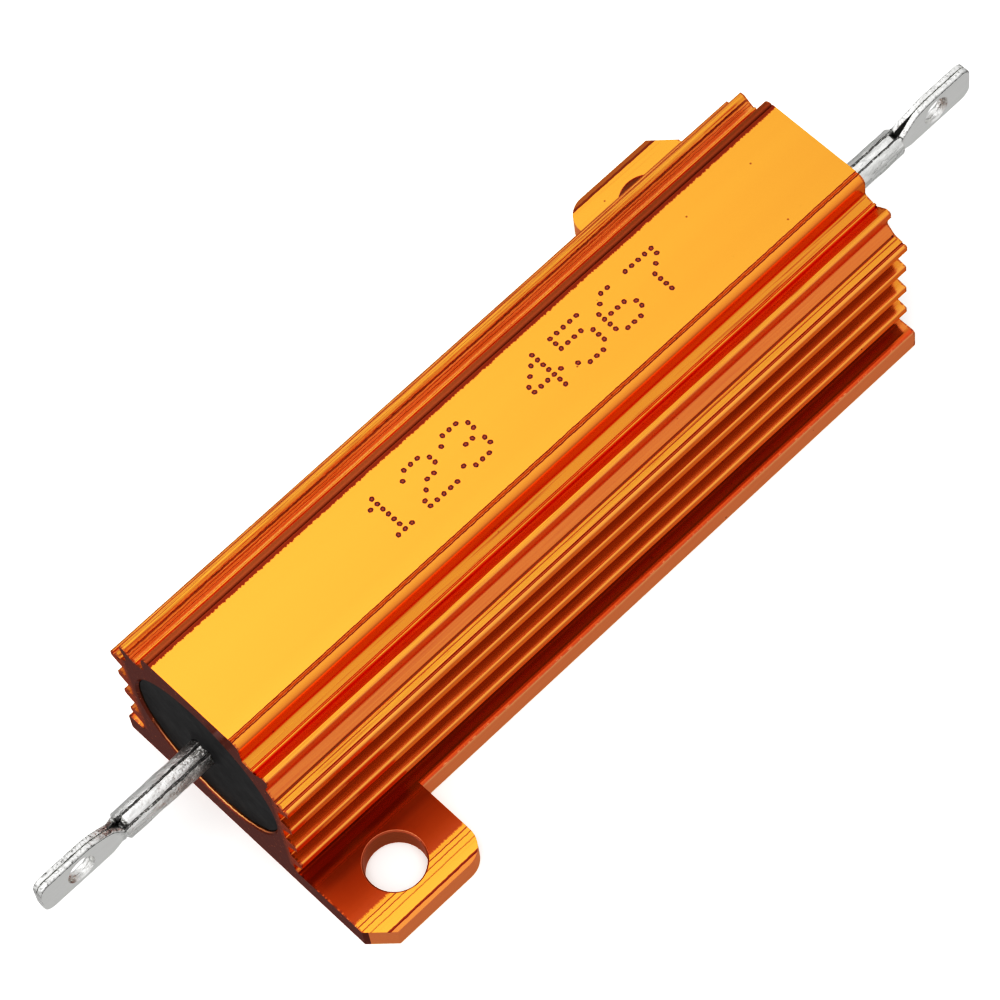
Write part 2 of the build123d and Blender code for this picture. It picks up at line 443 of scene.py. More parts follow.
    def body_zones(self, pattern: Pattern, at: Spot) -> dict[str, Socket]:
        """Returns the masks of the crown, its edges, the horn, the neck and the fins, by name."""
        add, both, within = pattern.add, pattern.both, pattern.within
        crown = within(at.z, self.crown_level - 0.02)
        near_crown = within(at.z, self.crown_level - 1.4)
        # Painted shade and highlight on the far crown edge, with a ragged inner border.
        far_edge_shading = add(Kind.RANGE, pattern.total(at.y, at.comb), self.far_edge_span[0], self.far_edge_span[0] + 0.07)
        # Painted highlight on the crown's rounded near edge.
        lip_highlight = add(Kind.RANGE, at.y, 0.05 - self.score[0], -0.02 - self.score[0])
        lip_height = add(Kind.RANGE, at.z, self.crown_level - 0.9, self.crown_level - 0.4)
        # Painted highlight on the neck wall between the horn and the top fin.
        bottom, top = self.neck_levels
        above, below = add(Kind.RANGE, at.z, bottom, bottom + 0.15), add(Kind.RANGE, at.z, top, top - 0.1)
        beside_neck = add(Kind.RANGE, at.half_y, self.neck_half, self.neck_half + 0.06)
        # Painted highlight on the upper side of each fin's nose.
        tip = add(Kind.RANGE, at.half_y, self.fin_half - 0.42, self.fin_half - 0.16)
        upper_side = add(Kind.RANGE, at.facing_z, -0.8, -0.3, 0.0, 0.85)
        start, end = self.horn_slope
        slope_start = add(Kind.RANGE, at.y, start, start + 0.04)
        slope_end = add(Kind.RANGE, at.y, end, end - 0.04)
        score = pattern.line(at.y, -sum(self.score) / 2, 0.1)
        on_horn = within(at.z, self.horn_foot)
        facing_x = pattern.away(at.facing_x)
        return {
            "end_face": both(within(facing_x, 0.7), within(at.half_x, self.half_length - 0.25)),
            "crown": crown,
            "off_crown": pattern.off(crown),
            "beside": add(Kind.RANGE, at.half_y, self.crown_half, self.crown_half + 0.1),
            "far_edge_shading": both(far_edge_shading, within(at.y, high=self.far_edge_span[1]), near_crown),
            "lip_highlight": both(lip_highlight, within(at.y, -self.crown_half - 0.05), lip_height),
            # Painted shade in the score groove.
            "groove": both(score, within(at.z, self.crown_level - 0.2)),
            # Painted glint along the bead.
            "bead_glint": both(pattern.line(at.y, self.bead, self.bead_half), on_horn),
            "slope": both(slope_start, slope_end, on_horn),
            "neck": both(above, below, beside_neck),
            "tip": both(tip, within(at.half_y, high=self.fin_half + 0.14), upper_side),
            "trough": both(within(at.z, high=self.top_fin_level - 0.3),
                add(Kind.RANGE, at.half_y, self.trough_mouth, self.trough_mouth - 0.3),
            ),
            "scored": self.scored_lines(pattern, at),
        }

    def foot_zones(self, pattern: Pattern, at: Spot) -> dict[str, Socket]:
        """Returns the masks of the foot, the ears and their cut sides, by name."""
        add, both, within = pattern.add, pattern.both, pattern.within
        ear = both(within(at.z, high=self.ear_level + 0.1), within(at.facing_z, 0.8))
        # Painted reflection of the fins on the inner part of each ear top.
        dull = add(Kind.RANGE, pattern.total(at.half_y, at.comb), self.ear_reflection_edge + 0.1, self.ear_reflection_edge)
        outside_foot = add(Kind.RANGE, at.half_y, self.foot_half - 0.5, self.foot_half + 0.5, 0.0, 0.8)
        ear_corners = within(both(at.x, at.y), 0.0)
        beside_ear = both(within(at.half_x, self.ear_start), ear_corners)
        top_edge = within(at.z, self.ear_level - 0.08, self.ear_level + 0.1)
        foot_edge = both(top_edge, pattern.off(beside_ear))
        # Painted glow on the foot's rounded rim.
        rim_glow = add(Kind.RANGE, at.half_y, self.foot_half - 0.4, self.foot_half - 0.25, 0.0, 0.75)
        nicks = pattern.line(pattern.total(at.half_y, at.wander), self.foot_half - 0.05, 0.09)
        rolled = add(Kind.RANGE, at.half_y, self.ear_roll, self.ear_roll + 0.04, 0.0, 0.8)
        mirrored = add(Kind.VECTOR, at.place, operation="ABSOLUTE")
        reach = add(Kind.VECTOR, mirrored, (*self.hole_place, 0.0), operation="SUBTRACT")
        reach = add(Kind.VECTOR, reach, (1.0, 1.0, 0.0), operation="MULTIPLY")
        reach = add(Kind.VECTOR, reach, output="Value", operation="LENGTH")
        return {
            "ear": ear,
            "off_ear": pattern.off(ear, 0.16),
            "cut_side": both(within(at.facing_z, -0.5, 0.85), within(at.z, high=self.ear_level)),
            "in_hole": within(reach, high=self.hole_radius),
            "dull": both(ear, dull, outside_foot),
            # Painted shadow on the ear tops next to the fins.
            "fin_shadow_band": both(ear, add(Kind.RANGE, at.half_y, *self.fin_shadow_band, 0.4, 0.0)),
            "foot_edge": foot_edge,
            "rim_glow": both(foot_edge, rim_glow),
            "nicks": both(nicks, add(Kind.RANGE, at.grit, 0.55, 0.62), foot_edge),
            "rolled": both(ear, rolled),
        }

    def shade_zones(self, pattern: Pattern, at: Spot, zones: dict[str, Socket]) -> dict[str, Socket]:
        """Returns masks: painted shade in recesses, painted bounce light in hollows, and open sides with die
        lines.
        """
        add = pattern.add
        shade = add(Kind.SHADE, output="AO", Distance=self.shade_reach * MM, samples=4)
        # Painted shade: strongest where the ambient occlusion finds the point most hidden.
        occlusion_shade = add(Kind.RANGE, shade, 0.1, 0.7, 1.0, 0.0)
        off_ear = pattern.off(zones["ear"])
        open_side = pattern.off(occlusion_shade, 0.15)
        return {
            "occlusion_shade": occlusion_shade,
            # Painted bounce light in the most occluded hollows, off the ears.
            "hollow_bounce_light": add(Kind.RANGE, shade, 0.12, 0.4, off_ear, 0.0),
            "open": pattern.both(zones["beside"], open_side, zones["off_ear"]),
        }

    def sawn_colour(self, pattern: Pattern, at: Spot, on_fins: Socket) -> Socket:
        """Returns the sawn ends' colour: brown, partly painted shade; bronze on fins; painted glints and a
        painted highlight on the lower bore rim.
        """
        add, both = pattern.add, pattern.both
        glint = add(Kind.RANGE, pattern.total(at.grit, both(on_fins, 0.14)), 0.62, 0.74)
        from_axis = add(Kind.VECTOR, at.place, (0.0, 0.0, self.bore_height), operation="SUBTRACT")
        from_axis = add(Kind.VECTOR, from_axis, (0.0, 1.0, 1.0), operation="MULTIPLY")
        radius = add(Kind.VECTOR, from_axis, output="Value", operation="LENGTH")
        # Painted highlight on the bore's rim, only on its lower part.
        rim = pattern.line(pattern.total(radius, at.wander), self.bore_radius + 0.04, 0.03)
        rim = both(rim, add(Kind.RANGE, at.z, self.bore_height - 2.5, self.bore_height - 4.0))
        layers = ((self.fin_sawn, on_fins), (self.sawn_glint, glint), (self.painted_rim_highlight, rim))
        return pattern.layered(self.sawn_and_shaded, *layers)

    def colour(self, pattern: Pattern, at: Spot, zones: dict[str, Socket]) -> Socket:
        """Lays all colours of the housing over one another.

        Args:
            pattern: Nodes of the finish.
            at: Place of the point.
            zones: All masks by name.

        Returns:
            The colour.
        """
        add, both, layered = pattern.add, pattern.both, pattern.layered
        crown_share = add(Kind.RANGE, zones["crown"], 0.0, 1.0, 0.6, 0.15)
        cloudy = add(Kind.RANGE, pattern.streaks(at.place, 3.0, Axis.ALONG_X), 0.35, 0.7, 0.0, crown_share)
        dark_lines = both(add(Kind.RANGE, at.lines, 0.58, 0.72, 0.0, 0.6), zones["open"])
        above_fins = add(Kind.RANGE, at.z, self.top_fin_level + 0.1, self.top_fin_level + 0.3)
        slope_lines = both(zones["slope"], add(Kind.RANGE, at.lines, 0.42, 0.58, 0.2, 0.85))
        # Painted shade and highlight across the far crown edge, darker towards the far end.
        far_edge_light_and_shade = layered(
            self.far_edge_shade,
            (self.far_edge_highlight, add(Kind.RANGE, at.y, 3.25, 4.0)),
            (self.far_edge_shade, add(Kind.RANGE, at.x, *self.far_edge_fade, 0.0, 0.45)),
        )
        ragged_end = add(Kind.RANGE, at.grit, *MOST, -0.05, 0.06)
        ragged_end = pattern.total(pattern.away(at.half_x, self.half_length), ragged_end)
        burr = add(Kind.RANGE, ragged_end, self.burr * 0.6, self.burr, 0.65, 0.0)
        burr = both(burr, zones["off_crown"])
        burr_tint = layered(self.sawn_and_shaded, (self.streak_and_highlight, add(Kind.RANGE, at.lines, 0.5, 0.6)))
        return layered(
            self.gold,
            (self.deep, cloudy),
            (self.line_dark, dark_lines),
            # Painted shade in recesses.
            (layered(self.recess_shade, (self.shelf_shade, above_fins)), zones["occlusion_shade"]),
            # Painted bounce light in hollows.
            (self.hollow_bounce_light, zones["hollow_bounce_light"]),
            # Painted highlight on the neck wall.
            (self.neck, zones["neck"], 0.8),
            # Painted highlight on the fin noses.
            (self.streak_and_highlight, zones["tip"]),
            # Painted highlight on the near crown edge.
            (self.lip_highlight, zones["lip_highlight"], 0.85),
            # Painted glint on the bead.
            (self.bead_glint, zones["bead_glint"], 0.85),
            (self.streak_and_highlight, slope_lines),
            (far_edge_light_and_shade, zones["far_edge_shading"], 0.95),
            # Cut sides, with darker hole walls partly as painted shade.
            (layered(self.cut_edge, (self.drilled_and_shaded, zones["in_hole"])), zones["cut_side"], 0.9),
            # Painted reflection of the fins on the ears.
            (self.ear_fin_reflection, zones["dull"]),
            # Painted shadow beside the fins.
            (self.painted_fin_shadow, zones["fin_shadow_band"]),
            (self.painted_rim_glow, zones["rim_glow"]),
            (self.nick, zones["nicks"]),
            # Painted shade on the far ear's rolled edge.
            (layered(self.rolled, (self.shaded_far_roll, pattern.within(at.y, 0.0))), zones["rolled"]),
            # Painted shade in the score groove.
            (self.groove, zones["groove"], 0.85),
            # Painted shade along the scored lines.
            (self.scored, zones["scored"], 0.92),
            (self.speck, pattern.dots(at.place, self.speck_spacing, 0.8, 0.03, 0.07), 0.7),
            (burr_tint, burr),
            # The sawn ends: a cut finish, dark brown partly as painted shade.
            (self.sawn_colour(pattern, at, zones["fin_ends"]), zones["end_face"]),
        )

    def gloss(self, pattern: Pattern, at: Spot, zones: dict[str, Socket]) -> Socket:
        """Returns the roughness: satin along the lines, even on crown and ears, matt on the painted bands and
        where cut.
        """
        add, both = pattern.add, pattern.both
        low, high = self.roughness - self.roughness_spread, self.roughness + self.roughness_spread
        matt = [zones[name] for name in ("far_edge_shading", "cut_side", "groove", "bead_glint")]
        partly = (("neck", 0.7), ("dull", 0.8), ("slope", 0.7))
        matt += [both(zones[name], share) for name, share in partly]
        saw_marks = add(Kind.RANGE, zones["fin_ends"], 0.0, 1.0, self.sawn_roughness, self.fin_sawn_roughness)
        rough = add(Kind.RANGE, at.lines, *MOST, low, high)
        for share, value in (
            (zones["ear"], self.ear_roughness),
            (zones["crown"], self.crown_roughness),
            (pattern.either(*matt), self.matt_roughness),
            (zones["end_face"], saw_marks),
        ):
            rough = add(Kind.MIX, share, None, rough, value)
        return rough

    def height(self, pattern: Pattern, at: Spot, zones: dict[str, Socket]) -> Socket:
        """Returns the relief: drawn lines on open sides, scores, grit on the ends, the foot's rounded rim."""
        add, both = pattern.add, pattern.both
        calm = pattern.off(zones["trough"], 0.15)
        drawn = pattern.total(at.lines, both(at.fine, 0.4))
        drawn = both(drawn, zones["beside"], calm, zones["off_ear"])
        grain = both(at.grit, add(Kind.RANGE, zones["end_face"], 0.0, 1.0, 0.03, 1.0))
        fall = add(Kind.RANGE, at.half_y, self.foot_half - 0.4, self.foot_half, 0.0, -2.4)
        cut = both(zones["scored"], -1.0)
        return pattern.total(drawn, cut, grain, both(fall, zones["foot_edge"]))

    def material(self) -> bpy.types.Material:
        """Returns the finish of the housing."""
        material, pattern = start_material("gold_anodised_extrusion")
        at = self.spot(pattern)
        zones = self.body_zones(pattern, at) | self.foot_zones(pattern, at)
        zones |= self.shade_zones(pattern, at, zones)
        outer = pattern.add(Kind.RANGE, at.half_y, 6.0, 6.5)
        zones["fin_ends"] = pattern.both(outer, pattern.within(at.z, self.ear_level + 0.5))
        pattern.finish(
            {
                "Base Color": self.colour(pattern, at, zones),
                "Roughness": self.gloss(pattern, at, zones),
                "Specular Tint": pattern.layered(self.edge, (self.sawn_and_shaded, zones["end_face"])),
                "Metallic": 1.0,
                "Coat Weight": 0.25,
                "Coat Roughness": 0.15,
                "Coat IOR": 1.6,
            },
            self.height(pattern, at, zones),
            self.relief_depth,
            0.9,
        )
        return material


@dataclass(frozen=True)
class BlackFilling:
    """Cast silicone cement, black and matt, with a few light grains of its filler."""

    black: str = "1E1D1E"
    grain: str = "8A8580"
    grain_spacing: float = 0.4545

    def material(self) -> bpy.types.Material:
        """Returns the finish of the filling."""
        material, pattern = start_material("black_cast_cement")
        place = pattern.place()
        grains = pattern.dots(place, self.grain_spacing, 0.9, 0.05, 0.12)
        relief = pattern.total(pattern.streaks(place, 0.5, detail=4.0), grains)
        pattern.finish(
            {
                "Base Color": pattern.layered(self.black, (self.grain, grains, 0.7)),
                "Roughness": pattern.add(Kind.RANGE, pattern.streaks(place, 1.2), *MOST, 0.62, 0.78),
            },
            relief,
            0.03,
            0.6,
        )
        return material


@dataclass(frozen=True)
class TinnedCopper:
    """Copper sheet rolled and dipped in solder.

    The solder runs along the barrel in bright and dull streaks, crinkles on the cut edges and in
    the hole, and lies flat and even on the pressed faces. Flux and filling leave dark specks where
    the barrel comes out of the body. Painted shade darkens the seam and a line along the sheet's
    corners, and dark lines follow contours of the crinkled solder.
    """

    tin: str = "F0F0EE"
    film: str = "C4C4C2"
    # Painted shade in the seam and along the sheet's corners, and the colour of the contour lines.
    seam_shade_and_lines: str = "1C1A19"
    flux: str = "3C302A"
    rim: float = 31.3
    body_end: float = 24.9
    flux_reach: float = 26.6
    face_roughness: float = 0.36
    relief_depth: float = 0.07

    def marks(self, pattern: Pattern, away: Socket, on_lug: Socket, noise: tuple[Socket, ...]) -> tuple:
        """Returns the dark marks as layers: painted shade at corners and seam, contours of the crinkled
        solder, and flux.

        Args:
            pattern: Nodes of the finish.
            away: Distance from the part's middle along X.
            on_lug: Mask of the lug.
            noise: Streaks, crinkle and clouds.

        Returns:
            Colour and mask of each layer.
        """
        add, both = pattern.add, pattern.both
        streaks, crinkle, cloudy = noise
        from_edge = add(Kind.SPLIT, add(Kind.VERTEX_MAP, uv_map="sheet_edge"))
        ragged = pattern.total(from_edge, add(Kind.RANGE, crinkle, *MOST, -0.03, 0.03))
        # Painted shade in a line along the lug's corners.
        corner = pattern.away(ragged, 0.05)
        corner = add(Kind.RANGE, corner, 0.02, 0.05, 0.75, 0.0)
        # Painted shade along the barrel's open seam.
        seam = add(Kind.RANGE, ragged, 0.0, 0.04, 0.8, 0.0)
        contour = pattern.away(streaks, 0.5)
        contour = add(Kind.RANGE, contour, 0.004, 0.02, 0.5, 0.0)
        on_barrel = pattern.off(on_lug)
        contour = both(contour, add(Kind.RANGE, cloudy, 0.46, 0.56), on_barrel)
        flux = add(Kind.RANGE, away, self.body_end, self.flux_reach, 0.7, 0.0)
        flux = both(flux, add(Kind.RANGE, crinkle, 0.42, 0.52))
        edge = add(Kind.MIX, on_lug, None, seam, corner)
        return (self.seam_shade_and_lines, edge), (self.seam_shade_and_lines, contour), (self.flux, flux)

    def material(self) -> bpy.types.Material:
        """Returns the finish of the terminals."""
        material, pattern = start_material("solder_dipped_copper")
        add, both = pattern.add, pattern.both
        place = pattern.place()
        away = pattern.away(add(Kind.SPLIT, place))
        facing = add(Kind.SPLIT, add(Kind.FACING, output="Normal"), output="Y")
        facing = pattern.away(facing)
        on_lug = add(Kind.RANGE, away, self.rim + 0.05, self.rim + 0.3)
        flat_face = both(on_lug, add(Kind.RANGE, facing, 0.9, 0.97))
        streaks = pattern.streaks(place, 0.22, Axis.STREAKED, 4.0)
        crinkle = pattern.streaks(place, 0.13, detail=4.0)
        cloudy = pattern.streaks(place, 1.1, Axis.STREAKED, 3.0)
        dull = add(Kind.RANGE, cloudy, *MOST, 0.2, 0.46)
        relief = pattern.total(both(streaks, 1.3), both(crinkle, 0.6))
        relief = both(relief, pattern.off(flat_face, 0.06))
        colour = pattern.layered(
            self.tin,
            (self.film, add(Kind.RANGE, streaks, 0.42, 0.7, 0.0, 0.75)),
            (self.tin, flat_face, 0.9),
            *self.marks(pattern, away, on_lug, (streaks, crinkle, cloudy)),
        )
        pattern.finish(
            {
                "Base Color": colour,
                "Metallic": 1.0,
                "Roughness": add(Kind.MIX, flat_face, None, dull, self.face_roughness),
            },
            relief,
            self.relief_depth,
            0.8,
        )
        return material


@dataclass(frozen=True)
class FiredCeramic:
    """Unglazed steatite rod: off-white and fine grained."""

    body: str = "E4DED0"
    shade: str = "CFC6B4"

    def material(self) -> bpy.types.Material:
        """Returns the finish of the core."""
        material, pattern = start_material("unglazed_steatite")
        grain = pattern.streaks(pattern.place(), 0.3, detail=5.0)
        mottled = pattern.layered(self.body, (self.shade, pattern.add(Kind.RANGE, grain, *MOST)))
        pattern.finish({"Base Color": mottled, "Roughness": 0.7}, grain, 0.02, 0.5)
        return material


@dataclass(frozen=True)
class DrawnMetal:
    """Drawn or pressed steel and resistance alloy, with fine lines round the part."""

    name: str
    colour: str
    roughness: float = 0.35
    line_dark: str = "6A6660"

    def material(self) -> bpy.types.Material:
        """Returns the finish of a drawn metal piece."""
        material, pattern = start_material(self.name)
        lines = pattern.streaks(pattern.place(), 0.25, Axis.ALONG_Y, 3.0)
        share = pattern.add(Kind.RANGE, lines, 0.4, 0.75, 0.0, 0.4)
        pattern.finish(
            {
                "Base Color": pattern.layered(self.colour, (self.line_dark, share)),
                "Metallic": 1.0,
                "Roughness": self.roughness,
            },
            lines,
            0.02,
            0.5,
        )
        return material


@dataclass(frozen=True)
class PrintedDots:
    """Ink dots baked on the anodised face: dark maroon, thin in the middle and slightly glossy."""

    ink: str = "4A1208"
    thin_ink: str = "A04A20"

    def material(self) -> bpy.types.Material:
        """Returns the finish of the printed dots."""
        material, pattern = start_material("baked_maroon_ink")
        add = pattern.add
        mottle = pattern.streaks(pattern.place(), 0.12, detail=3.0)
        share = add(Kind.SPLIT, add(Kind.VERTEX_MAP, uv_map="dot_share"))
        mottled = add(Kind.RANGE, mottle, 0.45, 0.75, 0.0, 0.5)
        thin = pattern.either(mottled, add(Kind.RANGE, share, 0.5, 0.2, 0.0, 0.7))
        colour = pattern.layered(self.ink, (self.thin_ink, thin))
        pattern.finish({"Base Color": colour, "Roughness": 0.5}, mottle, 0.01, 0.5)
        return material


def ring_quads(rings: int, around: int) -> np.ndarray:
    """Returns the quads that join each closed ring of points to the next one."""
    start, point = np.meshgrid(np.arange(rings - 1) * around, np.arange(around), indexing="ij")
    after = (point + 1) % around
    quads = [start + point, start + after, start + around + after, start + around + point]
    return np.stack(quads, axis=-1).reshape(-1, 4)


def strip_lids(rings: int, around: int, across: int) -> list[list[int]]:
    """Returns the faces that close both ends of a bent sheet, between its outer and inner side.

    Args:
        rings: Number of sections.
        around: Number of points round a section.
        across: Number of points along the outer side.

    Returns:
        Numbers of the corners of each face.
    """
    blunt = around // 2 - across
    outer = np.arange(across)
    inner = 2 * across + blunt - 1 - outer
    lids = np.stack([outer[:-1], outer[1:], inner[1:], inner[:-1]], -1).tolist()
    if blunt:
        lids += [list(range(across - 1, across + blunt + 1)), [*range(2 * across + blunt - 1, around), 0]]
    return [[base + corner for corner in lid] for base in (0, (rings - 1) * around) for lid in lids]


def mesh_from_faces(name: str, points: np.ndarray, faces: list[list[int]]) -> bpy.types.Object:
    """Makes an object in the scene from points in millimetres and faces."""
    mesh = bpy.data.meshes.new(name)
    mesh.from_pydata((points.reshape(-1, 3) * MM).tolist(), [], faces)
    mesh.update()
    piece = bpy.data.objects.new(name, mesh)
    bpy.context.scene.collection.objects.link(piece)
    return piece


def mesh_from_rings(
    name: str, rings: np.ndarray, lids: list[list[int]], join: float = 0.0
) -> bpy.types.Object:
    """Makes a closed mesh from rings of points, with its faces turned outwards.

    Args:
        name: Name of the object and its mesh.
        rings: Array of rings, points and three coordinates, in millimetres.
        lids: Faces that close the ends, as numbers of points counted through all rings.
        join: Distance in metres within which points become one.

    Returns:
        The object, linked to the scene.
    """
    piece = mesh_from_faces(name, rings, ring_quads(*rings.shape[:2]).tolist() + lids)
    work = bmesh.new()
    work.from_mesh(piece.data)
    if join:
        bmesh.ops.remove_doubles(work, verts=work.verts, dist=join)
    bmesh.ops.recalc_face_normals(work, faces=work.faces)
    work.to_mesh(piece.data)
    work.free()
    piece.data.update()
    return piece


def set_map(piece: bpy.types.Object, values: np.ndarray, name: str = "sheet_edge") -> None:
    """Stores one number per vertex, such as its distance from the sheet's edge, as the U of a UV map.

    Args:
        piece: Object that gets the map.
        values: Number for each vertex.
        name: Name of the map.
    """
    mesh = piece.data
    loops = np.empty(len(mesh.loops), dtype=np.int32)
    mesh.loops.foreach_get("vertex_index", loops)
    pairs = np.zeros((len(loops), 2))
    pairs[:, 0] = values[loops]
    mesh.uv_layers.new(name=name).uv.foreach_set("vector", pairs.ravel())


def dress(
    piece: bpy.types.Object, finish: bpy.types.Material, crease: float, node: str = ""
) -> bpy.types.Object:
    """Gives a piece its finish and creases, and enters it in the frame.

    Args:
        piece: Object to dress.
        finish: Its material.
        crease: Angle in degrees above which an edge stays sharp.
        node: CAD node that the piece replaces, if it does.

    Returns:
        The piece.
    """
    piece.data.materials.clear()
    piece.data.materials.append(finish)
    piece.data.shade_smooth()
    piece.data.set_sharp_from_angle(angle=math.radians(crease))
    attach(piece, "root")
    if node:
        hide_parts(node)
    return piece


def smooth_step(value: np.ndarray) -> np.ndarray:
    """Returns 0 below 0, 1 above 1 and a smooth climb between them."""
    t = np.clip(value, 0.0, 1.0)
    return t * t * (3 - 2 * t)


@dataclass
class Terminal:
    """One rolled terminal: a tube with its seam on top that is pressed flat into an upright lug.

    The sheet's middle line is an open ring in the barrel and a folded plate in the lug, and each
    station along X blends the one into the other. Every point also carries its distance from the
    sheet's edge, which the finish reads.
    """

    name: str
    node: str
    side: int
    opening: float
    parting: float
    seam_turn: float
    lug_centre: float = 0.4
    axis_height: float = 7.6
    offset: float = 0.4
    start: float = 18.4
    body_end: float = 24.5
    rim: float = 31.3
    tip: float = 37.45
    barrel_radius: float = 0.95
    sheet: float = 0.45
    layer: float = 0.34
    seam: float = 0.25
    lug_half: float = 1.575
    neck_top: float = 0.5
    neck_low: float = 1.2
    tip_round: float = 0.7
    hole_radius: float = 0.95
    hole_inset: float = 2.9
    columns: int = 96
    edge_bow: float = 0.1
    edge_power: float = 0.55
    bend: float = 0.2
    fold_gap: float = 0.012
    climb_length: float = 3.0
    widen_length: float = 1.2
    press_length: float = 0.26
    lean_length: float = 0.8
    crease: float = 38.0
    uncut: float = 2.0

    def stations(self) -> np.ndarray:
        """Returns the X values of the sections, closer where the shape changes."""
        round_start = self.tip - self.tip_round
        spans = (
            (self.start, self.body_end, 6),
            (self.body_end, self.rim - 0.15, 90),
            (self.rim - 0.15, self.rim + 0.5, 40),
            (self.rim + 0.5, round_start, 60),
        )
        parts = [np.linspace(first, last, count, endpoint=False) for first, last, count in spans]
        quarter = np.linspace(0, math.pi / 2, 14)
        return np.concatenate([*parts, round_start + self.tip_round * np.sin(quarter)])

    def half_sheet(self, x: np.ndarray) -> np.ndarray:
        """Returns half the sheet's thickness: the barrel's wall, thinned by the press in the lug."""
        return (self.sheet + (self.layer - self.sheet) * smooth_step((x - self.rim) / 0.3)) / 2

    def seam_half(self, x: np.ndarray) -> np.ndarray:
        """Returns half the seam's width: an open slot whose width wanders by two slow waves."""
        return self.seam * (1 + 0.06 * np.sin(2.9 * x + self.side) + 0.05 * np.sin(7.3 * x))

    def middle(self, x: np.ndarray, u: np.ndarray) -> tuple[np.ndarray, np.ndarray]:
        """Returns the sheet's middle line.

        Ring: angle from the bottom grows evenly with u. Plate: a half circle at the bottom, then
        straight up, where the layers lean apart at the opening. The press joins the two over a
        quarter of a millimetre, and over the opening's length for the sheet's free edges.

        Args:
            x: Stations, as a column.
            u: Place along the sheet from -1 to 1, as a row.

        Returns:
            Y and Z of each point, before the offset.
        """
        half = self.half_sheet(x)
        radius = self.barrel_radius - half
        angle = u * (math.pi - (self.seam_half(x) + self.edge_bow) / radius) - math.radians(self.seam_turn)
        ring_y, ring_z = radius * np.sin(angle), -radius * np.cos(angle)
        beyond = x - self.rim
        free = np.clip(np.abs(u) * 1.5 - 0.5, 0, 1)
        parted = self.parting * (1 - smooth_step(beyond / self.opening)) * free
        part = half + self.fold_gap + parted
        corner = np.clip((x - (self.tip - self.tip_round)) / self.tip_round, 0, 1)
        cut = self.tip_round * (1 - np.sqrt(np.clip(1 - corner**2, 0, 1)))
        climb = smooth_step(np.clip((beyond + 0.1) / self.climb_length, 0, 1) ** 0.6)
        top = self.neck_top + (self.lug_half - self.neck_top) * climb - cut - self.edge_bow
        widened = (self.lug_half - self.neck_low) * smooth_step(beyond / self.widen_length)
        low = -(self.neck_low + widened) + 0.9 * cut + half
        turn = np.clip(np.abs(u) / self.bend, 0, 1) * math.pi / 2
        rise = np.clip((np.abs(u) - self.bend) / (1 - self.bend), 0, 1)
        knee = low + half
        plate_y = np.sign(u) * part * np.sin(turn)
        folded = knee - (knee - low) * np.cos(turn)
        plate_z = np.where(np.abs(u) < self.bend, folded, knee + (top - knee) * rise)
        weight = smooth_step((beyond + 0.04 + 0.12 * (1 - free)) / self.press_length)
        y = (1 - weight) * ring_y + weight * plate_y
        z = (1 - weight) * ring_z + weight * plate_z
        lean = (self.lug_centre - self.offset) * smooth_step(beyond / self.lean_length)
        return y - lean, z

    def section(self) -> tuple[np.ndarray, np.ndarray]:
        """Returns the grid of the closed sheet and each column's distance from the sheet's edge.

        A section runs along the outer side, round the blunt edge, back along the inner side and
        round the other edge. The edge is a superellipse, so that its corners stay fairly crisp.
        """
        x = self.stations()[:, None]
        u = np.linspace(-1, 1, self.columns)[None, :]
        y, z = self.middle(x, u)
        dy, dz = np.gradient(y, axis=1), np.gradient(z, axis=1)
        size = np.hypot(dy, dz)
        ny, nz = dz / size, -dy / size
        half = self.half_sheet(x)
        on_barrel = 1 - smooth_step((x - self.rim + 0.1) / 0.2)
        wave = 0.01 * np.sin(x * 3.1 + u * 5) + 0.008 * np.sin(x * 1.7 - u * 14 + 1.3) - 0.018
        swell = half + wave * on_barrel
        outer = np.stack([y + ny * swell, z + nz * swell], -1)
        inner = np.stack([y - ny * half, z - nz * half], -1)[:, ::-1]
        turn = np.linspace(0, math.pi, 11)[1:-1]
        across = np.sign(np.cos(turn)) * np.abs(np.cos(turn)) ** self.edge_power
        ahead = np.sin(turn) ** self.edge_power * self.edge_bow

        def edge(i: int, sign: float) -> np.ndarray:
            """Returns the blunt edge of the sheet at one end of the middle line."""
            ty, tz = sign * dy[:, i] / size[:, i], sign * dz[:, i] / size[:, i]
            side = across[None, :] * (1 if i == -1 else -1) * half
            ey = y[:, i, None] + ny[:, i, None] * side + ty[:, None] * ahead[None, :]
            ez = z[:, i, None] + nz[:, i, None] * side + tz[:, None] * ahead[None, :]
            return np.stack([ey, ez], -1)

        loop = np.concatenate([outer, edge(-1, 1.0), inner, edge(0, -1.0)], axis=1)
        grid = np.empty((loop.shape[0], loop.shape[1], 3))
        grid[..., 0] = x
        grid[..., 1:] = loop
        along = (1 - np.abs(u)) * np.sum(np.hypot(np.diff(y), np.diff(z)), axis=1, keepdims=True) / 2
        rounded = np.zeros((len(x), len(turn)))
        from_edge = np.concatenate([along, rounded, along[:, ::-1], rounded], axis=1)
        return grid, from_edge

    def place(self, grid: np.ndarray) -> np.ndarray:
        """Moves points from the terminal's own axes to the frame, turned half round for the near side."""
        placed = grid.copy()
        placed[..., 1] -= self.offset
        placed[..., :2] *= self.side
        placed[..., 2] += self.axis_height
        return placed

